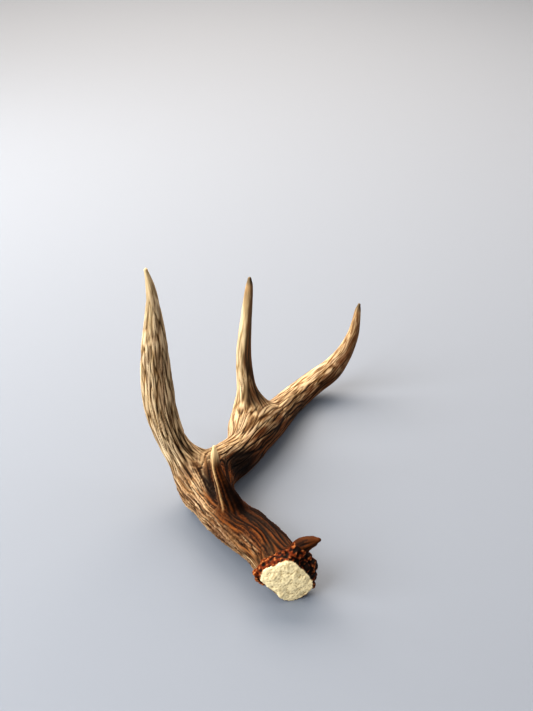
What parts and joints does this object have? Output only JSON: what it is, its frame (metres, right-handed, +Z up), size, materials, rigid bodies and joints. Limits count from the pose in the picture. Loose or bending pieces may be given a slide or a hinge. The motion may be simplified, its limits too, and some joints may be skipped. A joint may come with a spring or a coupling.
{
  "type": "deer antler",
  "caption": "Shed antler of a white-tailed deer: coronet, curved main beam and upright tines, lying on its side.",
  "frame": {"origin": "on the ground, under the middle of the antler's bounding box", "axes": "+Z up, +Y from the coronet towards the tip of the beam, +X towards the tip's side, away from the bend"},
  "size_m": [0.2121, 0.3464, 0.2545],
  "materials": {
    "stained_bone": "satin",
    "weathered_bone": "satin",
    "polished_bone": "satin"
  },
  "bodies": {
    "root": {"beam_base": "stained_bone", "brow_tine": "stained_bone", "second_tine": "weathered_bone", "beam_middle": "weathered_bone", "third_tine": "polished_bone", "beam_tip": "polished_bone"}
  },
  "joints": []
}
